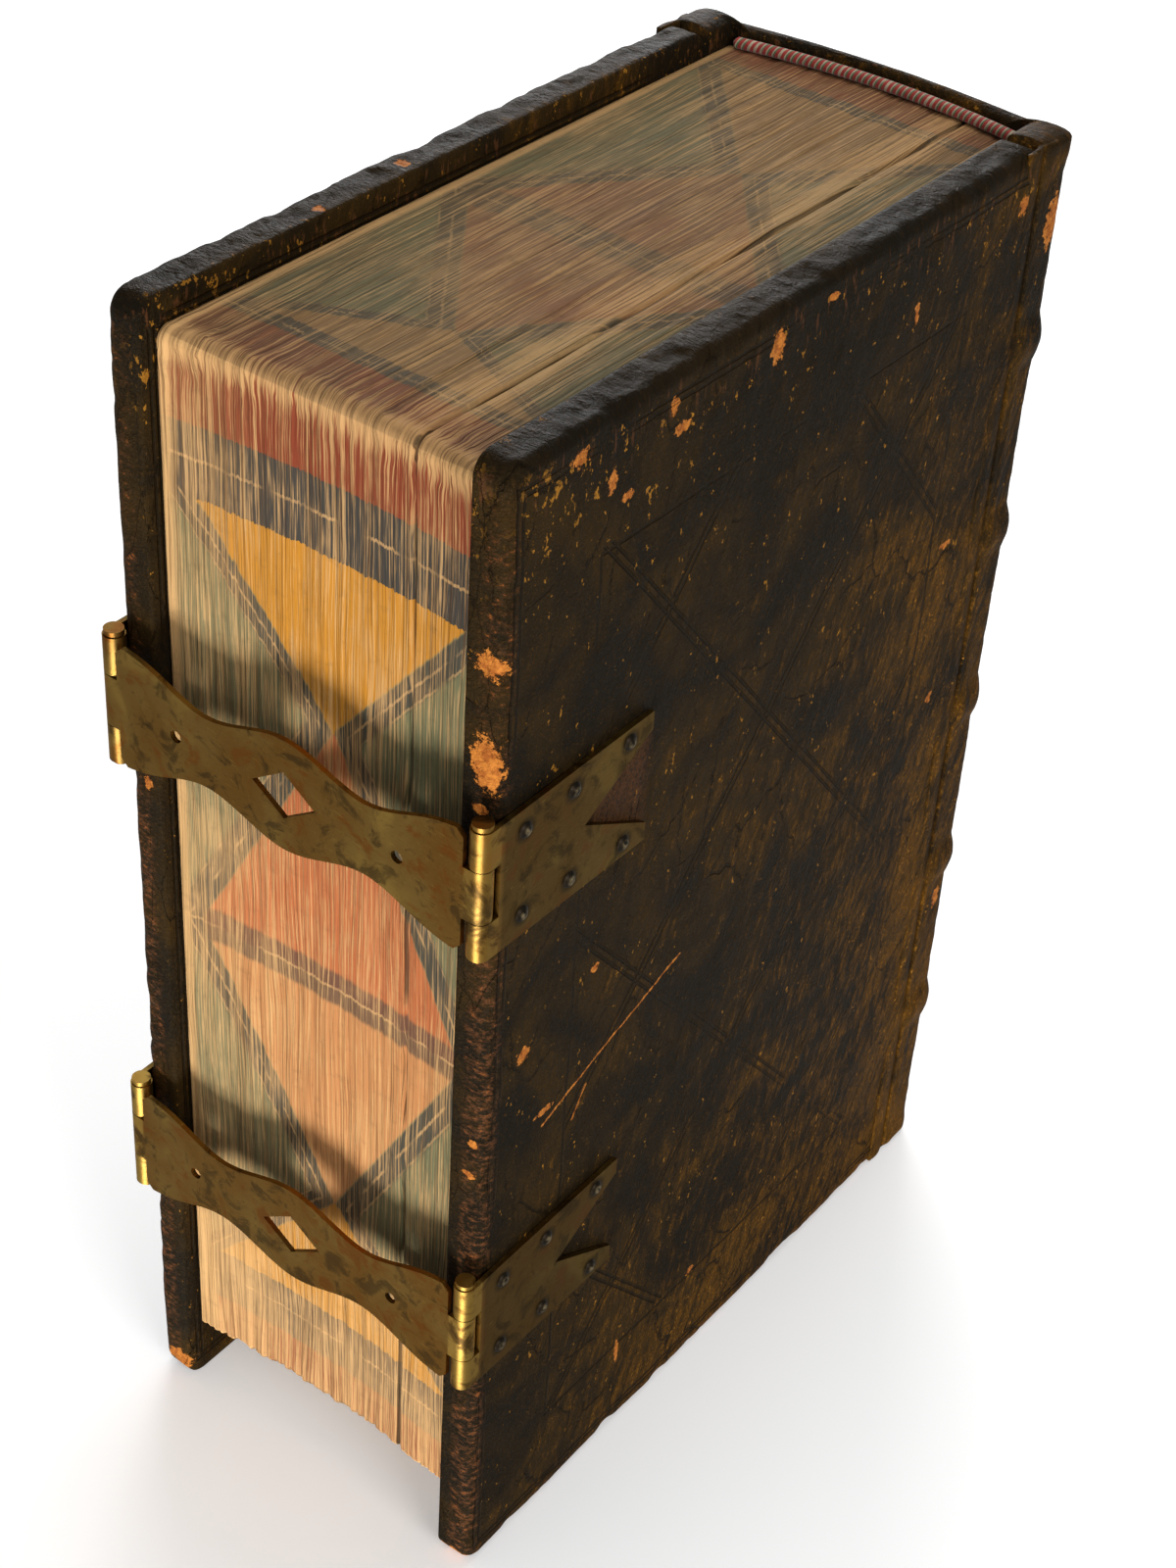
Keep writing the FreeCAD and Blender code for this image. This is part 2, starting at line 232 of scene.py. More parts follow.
class Finish:
    """One material: a Principled shader, and makers for the textures that feed it."""

    def __init__(self, name, **constants):
        self.material = bpy.data.materials.new(name)
        self.material.use_nodes = True
        self.tree = self.material.node_tree
        self.shader = self.tree.nodes["Principled BSDF"]
        for label, value in constants.items():
            self.shader.inputs[label.replace("_", " ")].default_value = value
        coordinates = self.tree.nodes.new("ShaderNodeTexCoord")
        scale = self.tree.nodes.new("ShaderNodeVectorMath")
        scale.operation = "SCALE"
        self.tree.links.new(coordinates.outputs["Object"], scale.inputs[0])
        scale.inputs["Scale"].default_value = 1 / MM
        self.place = Wire(self.tree, scale.outputs[0])
        parts = self.tree.nodes.new("ShaderNodeSeparateXYZ")
        put(self.tree, parts.inputs[0], self.place)
        self.x, self.y, self.z = (Wire(self.tree, out) for out in parts.outputs)

    def vector(self, x, y, z):
        node = self.tree.nodes.new("ShaderNodeCombineXYZ")
        for slot, value in zip(node.inputs, (x, y, z)):
            put(self.tree, slot, value)
        return Wire(self.tree, node.outputs[0])

    def noise(self, size, vector=None, detail=2.0, roughness=0.5, distortion=0.0):
        """Noise from 0 to 1 with features of about the given size in millimetres."""
        node = self.tree.nodes.new("ShaderNodeTexNoise")
        put(self.tree, node.inputs["Vector"], vector or self.place)
        node.inputs["Scale"].default_value = 1 / size
        node.inputs["Detail"].default_value = detail
        node.inputs["Roughness"].default_value = roughness
        node.inputs["Distortion"].default_value = distortion
        return Wire(self.tree, node.outputs[0])

    def streaks(self, x, y, z, **settings):
        """Noise drawn out by scaling its coordinates."""
        return self.noise(1.0, self.vector(x, y, z), **settings)

    def cracks(self, x, y, z):
        """Distance to the edges of cells that are drawn out in the same way."""
        node = self.tree.nodes.new("ShaderNodeTexVoronoi")
        node.feature = "DISTANCE_TO_EDGE"
        put(self.tree, node.inputs["Vector"], self.vector(x, y, z))
        node.inputs["Scale"].default_value = 1.0
        return Wire(self.tree, node.outputs["Distance"])

    def attribute(self, name):
        node = self.tree.nodes.new("ShaderNodeAttribute")
        node.attribute_name = name
        return Wire(self.tree, node.outputs["Fac"])

    def mix(self, factor, a, b):
        """Colour a where factor is 0, colour b where it is 1."""
        node = self.tree.nodes.new("ShaderNodeMix")
        node.data_type = "RGBA"
        put(self.tree, node.inputs[0], factor)
        put(self.tree, node.inputs[6], a)
        put(self.tree, node.inputs[7], b)
        return Wire(self.tree, node.outputs[2])

    def shade(self, colour, factor):
        """A colour multiplied by a grey factor."""
        node = self.tree.nodes.new("ShaderNodeVectorMath")
        node.operation = "SCALE"
        put(self.tree, node.inputs[0], colour)
        put(self.tree, node.inputs["Scale"], factor)
        return Wire(self.tree, node.outputs[0])

    def steps(self, value, stops):
        """Colour by value, constant from each stop's start to the next."""
        node = self.tree.nodes.new("ShaderNodeValToRGB")
        ramp = node.color_ramp
        ramp.interpolation = "CONSTANT"
        while len(ramp.elements) < len(stops):
            ramp.elements.new(0.5)
        for element, (start, colour) in zip(ramp.elements, stops):
            element.position = start
            element.color = tuple(colour) + (1.0,)
        put(self.tree, node.inputs[0], value)
        return Wire(self.tree, node.outputs[0])

    def broken_line(self, value, corners):
        """A value by straight pieces between corners, each (place, height) from 0 to 1."""
        node = self.tree.nodes.new("ShaderNodeFloatCurve")
        curve = node.mapping.curves[0]
        for place, height in corners[1:-1]:
            curve.points.new(place, height)
        ends = (corners[0], corners[-1])
        for point, (place, height) in zip((curve.points[0], curve.points[-1]), ends):
            point.location = (place, height)
        for point in curve.points:
            point.handle_type = "VECTOR"
        node.mapping.update()
        put(self.tree, node.inputs["Value"], value)
        return Wire(self.tree, node.outputs[0])

    def finish(self, colour, roughness, height, depth):
        """Colour, roughness and a height in millimetres, raised into the normal."""
        bump = self.tree.nodes.new("ShaderNodeBump")
        bump.inputs["Strength"].default_value = 1.0
        bump.inputs["Distance"].default_value = depth * MM
        put(self.tree, bump.inputs["Height"], height)
        self.tree.links.new(bump.outputs[0], self.shader.inputs["Normal"])
        put(self.tree, self.shader.inputs["Base Color"], colour)
        put(self.tree, self.shader.inputs["Roughness"], roughness)
        return self.material


# Page edges: painted fields, worn leaf by leaf

BARE_PAPER = (0.62, 0.36, 0.145)
PAINT_RED = (0.21, 0.042, 0.017)
PAINT_DARK = (0.050, 0.044, 0.036)
PAINT_OCHRE = (0.48, 0.20, 0.020)
PAINT_RUST = (0.43, 0.125, 0.042)
PAINT_TAN = (0.47, 0.20, 0.070)
# The dull tan and rust are darker copies for the head: faded paint, partly painted shade on the top
# face
PAINT_DULL_SHADED_TAN = (0.30, 0.155, 0.055)
PAINT_DULL_SHADED_RUST = (0.27, 0.105, 0.045)
PAINT_GREEN = (0.150, 0.142, 0.070)
LEAF_LINE = (0.17, 0.075, 0.024)
# Grime, also used as painted shade on the head and in the parted gap
GRIME_AND_SHADE = (0.045, 0.031, 0.016)
# Dust on the head, partly painted shade on the top face
HEAD_DUST_AND_SHADE = (0.135, 0.096, 0.050)
# Where each field starts: from the head down the fore edge, and from the fore edge along the head
FORE_STOPS = (0.8, 12.5, 23.0, 51.5, 97.5, 142.0, 168.0, 178.5, 188.0)
HEAD_STOPS = (0.7, 10.5, 13.5, 25.6, 59.0, 90.5, 119.0, 122.0, 130.5)
SALTIRE_X = 1.5
SALTIRE_HALF = 25.0
BAR_EDGES = (5.6, 4.2)
BAR_LINES = (2.3, 4.7)
MIDDLE_BAR_EDGES = (3.6, 2.6)


def painted_fields(look, x, along, length, stops, inks):
    """Bands at both ends, and between them a saltire of crossing bars on coloured fields.

    The inner fields lie where |x| is under a zigzag: its width falls from the first band to
    the first crossing, grows to the middle, and does the same again to the last band.
    """
    rim, red, dark, first, middle, second, dark_2, red_2, rim_2 = (s / length for s in stops)
    share = along / length
    ends = [(0.0, BARE_PAPER), (rim, PAINT_RED), (red, PAINT_DARK)]
    closing = [(dark_2, PAINT_DARK), (red_2, PAINT_RED), (rim_2, BARE_PAPER)]
    starts = (dark, first, middle, second)
    inner = look.steps(share, ends + list(zip(starts, inks)) + closing)
    outer = look.steps(share, ends + [(dark, PAINT_GREEN)] + closing)
    half = look.broken_line(share, [(0.0, 1.0), (dark, 0.95), (first, 0.0), (middle, 1.0),
                                    (second, 0.0), (dark_2, 0.95), (1.0, 1.0)])
    beyond = (x - SALTIRE_X).abs() - half * SALTIRE_HALF
    colour = look.mix(beyond.step(-0.3, 0.3), inner, outer)
    soft = 0.002
    in_lattice = share.step(dark - soft, dark + soft) * share.step(dark_2 + soft, dark_2 - soft)
    bar = beyond.step(0.0, 0.4) * beyond.step(*BAR_EDGES) * in_lattice
    colour = look.mix(bar * 0.86, colour, PAINT_DARK)
    from_middle = (along - stops[4]).abs()
    colour = look.mix(from_middle.step(*MIDDLE_BAR_EDGES) * 0.75, colour, PAINT_DARK)
    # Thin cream lines along the bars and in both dark bands
    cream = (beyond - BAR_LINES[0]).abs().step(0.34, 0.12) * in_lattice
    cream = cream.max((beyond - BAR_LINES[1]).abs().step(0.28, 0.10) * in_lattice * 0.7)
    cream = cream.max(from_middle.step(0.34, 0.14))
    for at in ((stops[1] + stops[2]) / 2, (stops[6] + stops[7]) / 2):
        cream = cream.max((along - at).abs().step(0.34, 0.14))
    broken = look.noise(5.0, detail=2.0).step(0.38, 0.58)
    return look.mix(cream * broken * 0.62, colour, BARE_PAPER)


def page_edge_finish():
    """Paint broken up leaf by leaf.

    The run along a leaf is z - y, which carries on round the head's corner, so the streaks
    do too. Leaves waver a little, and more near that corner.
    """
    look = Finish("painted_page_edges", Specular_IOR_Level=0.12)
    run = look.z - look.y
    corner_run = BLOCK_HIGH - BLOCK_FORE
    near_corner = (run - corner_run).abs().step(11.0, 1.0)
    wander = look.streaks(look.x * 0.22, run * 0.15, 0.0, detail=2.0) - 0.5
    drift = look.streaks(look.x * 0.12, run * 0.03, 5.0, detail=1.0) - 0.5
    leaf_x = look.x + wander * near_corner * 3.6 + drift * 2.0
    jitter = look.streaks(leaf_x * 2.4, run * 0.02, 4.0, detail=3.0) - 0.5
    down = look.z * -1.0 + BLOCK_HIGH
    back = look.y - BLOCK_FORE
    up = look.z - BLOCK_LOW
    on_end = (back - down.min(up)).step(0.0, 0.3)
    fore = painted_fields(look, look.x, down + jitter * 1.2, BLOCK_HIGH - BLOCK_LOW, FORE_STOPS,
                          (PAINT_OCHRE, PAINT_RUST, PAINT_TAN, PAINT_OCHRE))
    head = painted_fields(look, look.x, back + jitter * 1.5, BLOCK_BACK - BLOCK_FORE, HEAD_STOPS,
                          (PAINT_DULL_SHADED_TAN, PAINT_DULL_SHADED_RUST, PAINT_DULL_SHADED_RUST, PAINT_DULL_SHADED_TAN))
    # The head is dusty, and its paint is fainter; both darken it, partly as painted shade on the
    # top face
    patch = look.noise(13.0, detail=3.0)
    dusty_and_shaded = look.mix(patch.step(0.25, 0.7) * 0.30 + 0.36, head, HEAD_DUST_AND_SHADE)
    fields = look.mix(on_end, fore, dusty_and_shaded)
    # Cream streaks where single leaves have lost their paint
    fine = look.streaks(leaf_x * 3.0, run * 0.022, 0.0, detail=3.0, roughness=0.8)
    short = look.streaks(leaf_x * 3.4, run * 0.16, 7.0, detail=2.0, roughness=0.6)
    opened = (leaf_x - SPLIT_X + 1.0).abs().step(6.0, 0.5) * on_end * 0.10
    corner = down.max(back).step(6.0, 0.8) * 0.15
    low = look.z.step(75.0, 14.0)
    left = look.x.step(-6.0, -22.0) * on_end.step(0.6, 0.4) * 0.03
    streak = fine * 0.75 + short * 0.24 + patch * 0.18 + corner + opened + low * 0.06 + left
    rubbed = streak.step(0.555, 0.685)
    strength = corner * 1.3 + 0.70 - on_end * 0.14
    fields = look.mix(low * 0.24 + left * 4.0, fields, BARE_PAPER)
    worn = look.mix(rubbed * strength, fields, BARE_PAPER)
    # Bare endleaves at the front board
    pale_side = (look.x + BLOCK_HALF - low * 2.2).step(2.2, 0.9)
    worn = look.mix(pale_side * 0.8, worn, BARE_PAPER)
    # Dark lines between leaves
    line = look.streaks(leaf_x * 4.0, run * 0.018, 3.0, detail=2.0, roughness=0.8)
    dark_line = line.step(0.43, 0.34) * (corner * -3.0 + 1.0)
    worn = look.mix(dark_line * 0.60, worn, look.mix(on_end, LEAF_LINE, GRIME_AND_SHADE))
    grime = look.noise(2.4, detail=4.0, roughness=0.7)
    # Random grime, more on the head, where it is partly painted shade on the top face, and less at
    # the worn corner
    dirt_and_shade = grime.step(0.5, 0.78) * 0.22 + on_end * (opened * -1.2 + 0.20) - corner * 0.8
    colour = look.mix(dirt_and_shade.clamp(), worn, GRIME_AND_SHADE)
    # One place where the block has parted, its gap painted dark as shade
    parted = look.noise(30.0).step(0.36, 0.46).max(on_end * 0.8)
    split = (leaf_x - SPLIT_X).abs().step(0.30, 0.08) * parted
    colour = look.mix(split * 0.8, colour, GRIME_AND_SHADE)
    relief = fine + line.step(0.3, 0.5) * 0.6 - split
    return look.finish(colour, 0.8, relief, 0.20)


def plain_paper_finish():
    look = Finish("aged_paper", Specular_IOR_Level=0.2)
    stain = look.noise(16.0, detail=4.0, roughness=0.6)
    fibre = look.noise(0.5, detail=3.0)
    laid = look.streaks(look.y * 0.05, look.z * 1.1, 0.0, detail=1.0)
    colour = look.mix(stain.step(0.35, 0.75), (0.60, 0.50, 0.33), (0.42, 0.30, 0.16))
    colour = look.shade(colour, fibre * 0.16 + laid * 0.12 + 0.84)
    return look.finish(colour, 0.85, fibre + laid * 0.5, 0.04)


# Leather

LEATHER_BLACK = (0.0088, 0.0066, 0.0038)
LEATHER_BROWN = (0.027, 0.0150, 0.0042)
LEATHER_AMBER = (0.185, 0.073, 0.005)
# Gold for chips, and for specks on the grain that are partly painted glints
LEATHER_GOLD_AND_GLINT = (0.36, 0.155, 0.018)
LEATHER_RUBBED = (0.105, 0.040, 0.015)
LEATHER_RAW = (0.50, 0.175, 0.030)
LEATHER_RAW_DARK = (0.30, 0.085, 0.016)
# Where the skin is scuffed through: distance from the fore edge, height, half width, half height
REAR_SCUFFS = (
    (55.9, 199.5, 1.5, 2.6), (13.6, 201.0, 1.7, 1.3), (33.0, 200.0, 1.0, 1.4),
    (69.0, 201.6, 1.3, 0.7), (8.0, 107.2, 1.4, 1.3), (114.2, 111.4, 0.8, 1.2),
    (111.6, 142.2, 1.8, 0.6), (24.1, 112.6, 0.9, 0.7), (59.0, 21.2, 1.4, 0.7),
    (38.4, 19.0, 0.5, 3.0), (120.0, 197.0, 1.2, 1.5), (14.0, 92.0, 2.2, 0.6),
    (20.5, 194.5, 0.9, 1.8), (24.0, 191.0, 1.2, 0.8), (35.0, 196.0, 1.6, 1.0),
    (92.0, 190.0, 0.7, 1.6))
FRONT_SCUFFS = (
    (80.0, 198.0, 1.6, 1.0), (22.0, 30.0, 1.2, 2.0), (60.0, 8.0, 2.4, 0.8),
    (118.0, 3.0, 1.6, 1.4))
BACK_SCUFFS = ((130.0, 191.0, 2.2, 4.0), (129.0, 60.0, 1.0, 2.2), (133.0, 110.0, 1.0, 1.4))
# The same on the boards' edges: place along X, Y and Z, half width and half height
REAR_EDGE_SCUFFS = (
    (31.4, -66.8, 176.4, 2.4, 1.9), (31.3, -66.8, 161.0, 2.5, 4.4), (30.8, -66.8, 153.8, 1.5, 0.9),
    (30.5, -66.8, 1.0, 2.6, 1.8), (31.5, -66.8, 94.0, 0.9, 0.8), (31.0, -66.8, 88.0, 1.2, 0.7))
FRONT_EDGE_SCUFFS = (
    (-30.0, -66.8, 127.4, 1.0, 1.3), (-29.8, -66.8, 4.0, 2.6, 2.2), (-30.1, -11.9, 205.0, 1.1, 1.4),
    (-28.8, -30.7, 205.0, 1.0, 1.2))
# Scratches on the rear board, from one place to another: distance from the fore edge, height
SCRATCHES = (
    ((13.7, 89.0), (26.0, 94.0)), ((26.0, 94.0), (46.0, 101.0)), ((21.0, 85.0), (24.0, 90.0)))
# Tooling, in the same terms: the middle, half a lozenge, and the frames' half sizes
TOOLING_U, TOOLING_V = 63.2, 103.5
LOZENGE_HALF_U, LOZENGE_HALF_V = 28.0, 32.5
LOZENGE_SPACING = 42.4
TOOLED_FRAMES = ((61.3, 99.0), (60.2, 97.9), (44.0, 82.0))
FRAME_V = 102.5


def ellipse(u, v, centre_u, centre_v, half_u, half_v):
    """Distance from a centre, measured in half axes."""
    a = (u - centre_u) / half_u
    b = (v - centre_v) / half_v
    return (a * a + b * b).math("SQRT")


def segment_distance(u, v, start, end):
    """Distance from a straight scratch between two points."""
    run, rise = end[0] - start[0], end[1] - start[1]
    length = math.hypot(run, rise)
    along = (u - start[0]) * (run / length) + (v - start[1]) * (rise / length)
    aside = (u - start[0]) * (-rise / length) + (v - start[1]) * (run / length)
    over = (along * -1.0).max(along - length).max(0.0)
    return aside.abs() + over


def tooled_lines(u, v):
    """Blind-tooled double lines: a frame near the edges and a lattice of lozenges inside it."""
    p = (u - TOOLING_U) / LOZENGE_HALF_U
    q = (v - TOOLING_V) / LOZENGE_HALF_V
    pairs = []
    for slant in (p + q, p - q):
        # An added whole number keeps the fraction's argument above zero
        near = ((slant * 0.5 + 20.0).math("FRACT") - 0.5).abs() * LOZENGE_SPACING
        pairs.append((near - 0.65).abs().step(0.36, 0.12))
    inside = (u - TOOLING_U).abs().step(44.2, 43.8) * (v - TOOLING_V).abs().step(82.2, 81.8)
    lines = pairs[0].max(pairs[1]) * inside
    for half_u, half_v in TOOLED_FRAMES:
        from_frame = ((u - TOOLING_U).abs() - half_u).max((v - FRAME_V).abs() - half_v)
        lines = lines.max(from_frame.abs().step(0.36, 0.14))
    return lines


def scuff_mask(look, u, v, ragged, scuffs, edge_scuffs, scratches):
    """Where the skin is gone: ragged patches on the face and on the edges, and scratches."""
    hits = []
    for place_u, place_v, half_u, half_v in scuffs:
        away = ellipse(u, v, place_u, place_v, half_u, half_v) + ragged * 2.4
        hits.append(away.step(1.05, 0.85) * u.step(0.2, 0.6))
    for x, y, z, half_width, half_height in edge_scuffs:
        side = ((look.x - x) * (look.x - x) + (look.y - y) * (look.y - y)).math("SQRT")
        away = ellipse(side, look.z, 0.0, z, half_width, half_height) + ragged * 2.2
        hits.append(away.step(1.05, 0.85))
    for start, end in scratches:
        away = segment_distance(u, v, start, end) + ragged * 0.7
        hits.append(away.step(0.30, 0.16))
    total = hits[0]
    for hit in hits[1:]:
        total = total.max(hit)
    return total


def clasp_ghost(u, v):
    """The notch between the upper plate's arms, where the skin has kept a rubbed, ruddy mark."""
    aside = (v - CLASP_MIDDLE - CLASP_OFFSET).abs()
    return (aside - (u - 18.0) * 0.60).step(0.4, -0.6) * u.step(17.6, 19.0) * u.step(35.0, 31.0)


def leather_finish(name, scuffs, edge_scuffs, scratches, on_board):
    """Dark leather, rubbed amber and gold, its gold grain specks partly painted glints, scuffed
    through in places and crackled at its rims.
    """
    look = Finish(name, Specular_IOR_Level=0.035, Specular_Tint=(1.0, 0.75, 0.50, 1.0))
    u = look.y - FORE_Y
    v = look.z
    lean = u - v * 0.30
    grain = look.noise(0.55, detail=2.0, roughness=0.65)
    drawn = look.streaks(look.x * 0.3, lean * 0.62, v * 0.20, detail=5.0, roughness=0.80,
                         distortion=0.4)
    cloud = look.noise(21.0, detail=3.0, roughness=0.62, distortion=0.7)
    dark = look.mix(cloud.step(0.36, 0.64), LEATHER_BLACK, LEATHER_BROWN)
    # Rubbed amber grows towards the joint and the tail
    drift = u * 0.0014 - v * 0.0006
    rub = (drawn * 0.80 + cloud * 0.36 + drift - 0.60).step(0.0, 0.24)
    colour = look.mix(rub * 0.40, dark, LEATHER_AMBER)
    # Gold specks on the rubbed grain: partly real specks, partly painted glints
    colour = look.mix((rub * 0.42 + 0.05) * grain.step(0.54, 0.68), colour, LEATHER_GOLD_AND_GLINT)
    # Fine chips, thicker near the head and the fore edge
    chip = look.noise(1.5, look.vector(look.x, u, v * 0.7), detail=3.0, roughness=0.72)
    near_head = v.step(HEIGHT - 34, HEIGHT - 4)
    near_fore = u.step(46.0, 4.0)
    chance = near_head * 0.025 + near_head * near_fore * 0.060 + cloud * 0.06
    chips = (chip + chance - 0.700).step(0.0, 0.03)
    rim = look.attribute("rim")
    chips = chips * (rim * -0.9 + 1.0)
    colour = look.mix(chips * 0.75, colour, LEATHER_GOLD_AND_GLINT)
    # Upright flecks under the head edge
    fleck = look.streaks(look.x * 0.6, u * 1.05, v * 0.28, detail=3.0, roughness=0.6)
    below_head = v.step(HEIGHT - 12, HEIGHT - 3)
    flecks = fleck.step(0.585, 0.66) * below_head * v.step(HEIGHT - 0.6, HEIGHT - 1.8)
    colour = look.mix(flecks * 0.62, colour, LEATHER_RUBBED)
    # Crackled edges, darker and plainer along the head
    colour = look.mix(rim * v.step(HEIGHT - 6, HEIGHT - 1.5) * 0.65, colour, LEATHER_BLACK)
    crackle = look.streaks(look.x * 0.7, look.y * 0.7, look.z * 1.3, detail=3.0, roughness=0.75)
    outer_half = look.x.abs().step(INNER_X + 1.6, INNER_X + 3.4)
    outer_edge = rim * outer_half * v.step(HEIGHT - 1, HEIGHT - 12)
    growth, least = (0.6, 0.4) if on_board else (0.2, 0.0)
    lower = v.step(170.0, 110.0) * growth + least
    colour = look.mix(outer_edge * crackle.step(0.45, 0.66) * lower * 0.8, colour, LEATHER_RUBBED)
    colour = look.mix(outer_edge * crackle.step(0.62, 0.70) * 0.5, colour, LEATHER_RAW_DARK)
    height = drawn * 1.6 + grain * 0.55 + fleck * below_head * 1.2 + rim * crackle * 0.5
    ragged = look.noise(1.2, detail=3.0, roughness=0.7) - 0.5
    raw = scuff_mask(look, u, v, ragged, scuffs, edge_scuffs, scratches)
    if on_board:
        ghost = clasp_ghost(u, v) * grain.step(0.25, 0.6)
        colour = look.mix(ghost * 0.5, colour, LEATHER_RUBBED)
        cells = look.cracks(look.x * 0.2, lean * 0.10 + drawn * 0.5, v * 0.045 + cloud * 0.5)
        crease = cells.step(0.012, 0.003)
        lines = tooled_lines(u, v) * cloud.step(0.36, 0.56)
        lines = lines.max(crease * cloud.step(0.46, 0.56))
        colour = look.mix(lines * 0.70, colour, LEATHER_BLACK)
        height = height - lines * 1.2
    raw_colour = look.mix(ragged.step(-0.15, 0.15), LEATHER_RAW, LEATHER_RAW_DARK)
    colour = look.mix(raw, colour, raw_colour)
    roughness = grain * 0.3 + cloud * 0.2 + 0.20
    return look.finish(colour, roughness, height - raw * 0.5, 0.42)


# Brass, nails, thread, wood and cord

BRASS_DULL = (0.165, 0.080, 0.016)
BRASS_OLIVE = (0.195, 0.112, 0.028)
BRASS_RUSSET = (0.190, 0.058, 0.008)
BRASS_BRIGHT = (0.52, 0.34, 0.075)
BRASS_STAIN = (0.022, 0.013, 0.006)
# Distance from the fore edge, and from the clasp's middle height
NAIL_PLACES = ((4.9, 7.1), (15.2, 7.6), (27.4, 8.7))


def from_nail(look):
    """Distance from the axis of the nearest nail, the same on both plates of a side."""
    u = look.y - FORE_Y
    from_clasp = ((look.z - CLASP_MIDDLE).abs() - CLASP_OFFSET).abs()
    nearest = None
    for along, aside in NAIL_PLACES:
        away = ellipse(u, from_clasp, along, aside, 1.0, 1.0)
        nearest = away if nearest is None else nearest.min(away)
    return nearest


def brass_finish():
    """Dull brass with dark stains and rubbed patches, brighter on the rolled knuckles: rubbed
    there, and partly a painted highlight.
    """
    look = Finish("aged_brass", Metallic=1.0, Specular_Tint=(1.0, 0.88, 0.70, 1.0))
    stain = look.noise(5.0, detail=5.0, roughness=0.65, distortion=0.6)
    cloud = look.noise(12.0, detail=3.0, distortion=0.4)
    spot = look.noise(0.9, detail=3.0, roughness=0.7)
    brushed = look.streaks(look.x * 0.3, look.y * 0.3, look.z * 3.0, detail=3.0)
    colour = look.mix(cloud.step(0.35, 0.62), BRASS_DULL, BRASS_OLIVE)
    colour = look.mix(stain.step(0.46, 0.36) * 0.7, colour, BRASS_RUSSET)
    # Brighter knuckles, most on the lower clasp and on the rear side: rubbed brass, partly a
    # painted highlight on their rounds
    at_pin = look.x.abs().step(OUTER_X - 2.7, OUTER_X - 2.2)
    knuckle = look.y.step(FORE_Y + 0.1, FORE_Y - 0.3) * at_pin
    lower = look.z.step(CLASP_MIDDLE + 20, CLASP_MIDDLE - 20) * 0.50
    polish_and_highlight = lower.max(look.x.step(-5, 5) * 0.28)
    bright = (knuckle * stain.step(0.58, 0.46) * polish_and_highlight).max(cloud.step(0.58, 0.70) * 0.22)
    colour = look.mix(bright, colour, BRASS_BRIGHT)
    colour = look.mix(stain.step(0.51, 0.64) * 0.66, colour, BRASS_STAIN)
    colour = look.mix(spot.step(0.66, 0.76) * 0.6, colour, BRASS_STAIN)
    on_face = look.x.abs().step(OUTER_X - 0.1, OUTER_X + 0.2) * look.y.step(FORE_Y, FORE_Y + 1.0)
    colour = look.shade(colour, on_face * -0.45 + 1.0)
    colour = look.mix(from_nail(look).step(2.5, 1.4) * on_face * 0.85, colour, BRASS_STAIN)
    scratch = look.streaks(look.x * 0.5, look.y, look.z * 6.0 + look.x, detail=2.0)
    colour = look.mix(scratch.step(0.66, 0.74) * 0.25, colour, BRASS_BRIGHT)
    roughness = stain * 0.3 + brushed * 0.1 + 0.20
    return look.finish(colour, roughness, brushed * 0.4 + spot * 0.5 + stain, 0.05)


def nail_finish():
    """Greyer metal, rubbed on the crowns of the heads and dark round them."""
    look = Finish("worn_nail_heads", Metallic=1.0)
    wear = look.noise(0.8, detail=3.0)
    crown = from_nail(look).step(0.95, 0.45)
    colour = look.mix(wear.step(0.35, 0.65) * crown, (0.020, 0.015, 0.010), (0.26, 0.20, 0.11))
    return look.finish(colour, wear * 0.3 + 0.3, wear, 0.05)


def thread_finish():
    """Wound thread: red, pale and green stitches that lean round the core."""
    look = Finish("headband_thread", Specular_IOR_Level=0.2, Sheen_Weight=0.3)
    along = look.attribute("along")
    around = look.attribute("around")
    turn = ((along + around * 0.6) / 1.05).math("FRACT")
    patchy = look.noise(4.0, look.vector(along, 0.0, 0.0), detail=1.0)
    colour = look.mix(turn.step(0.50, 0.58), (0.33, 0.028, 0.022), (0.42, 0.35, 0.24))
    green = turn.step(0.72, 0.78) * patchy.step(0.40, 0.48)
    colour = look.mix(green * 0.9, colour, (0.045, 0.12, 0.045))
    soot = look.noise(1.6, detail=3.0, roughness=0.6)
    colour = look.shade(colour, soot * 0.9 + 0.42)
    return look.finish(colour, 0.8, soot, 0.05)


def wood_finish():
    look = Finish("split_oak", Specular_IOR_Level=0.3)
    ring = look.streaks(look.x * 0.6, look.y * 0.7, look.z * 0.04, detail=4.0)
    colour = look.mix(ring.step(0.3, 0.7), (0.30, 0.17, 0.08), (0.16, 0.085, 0.04))
    return look.finish(colour, 0.7, ring, 0.1)


def cord_finish():
    look = Finish("hemp_cord", Specular_IOR_Level=0.2)
    twist = look.noise(0.4, look.vector(look.x + look.z * 2.0, look.y, 0.0), detail=2.0)
    colour = look.mix(twist, (0.34, 0.26, 0.15), (0.55, 0.44, 0.28))
    return look.finish(colour, 0.9, twist, 0.1)


# Text block

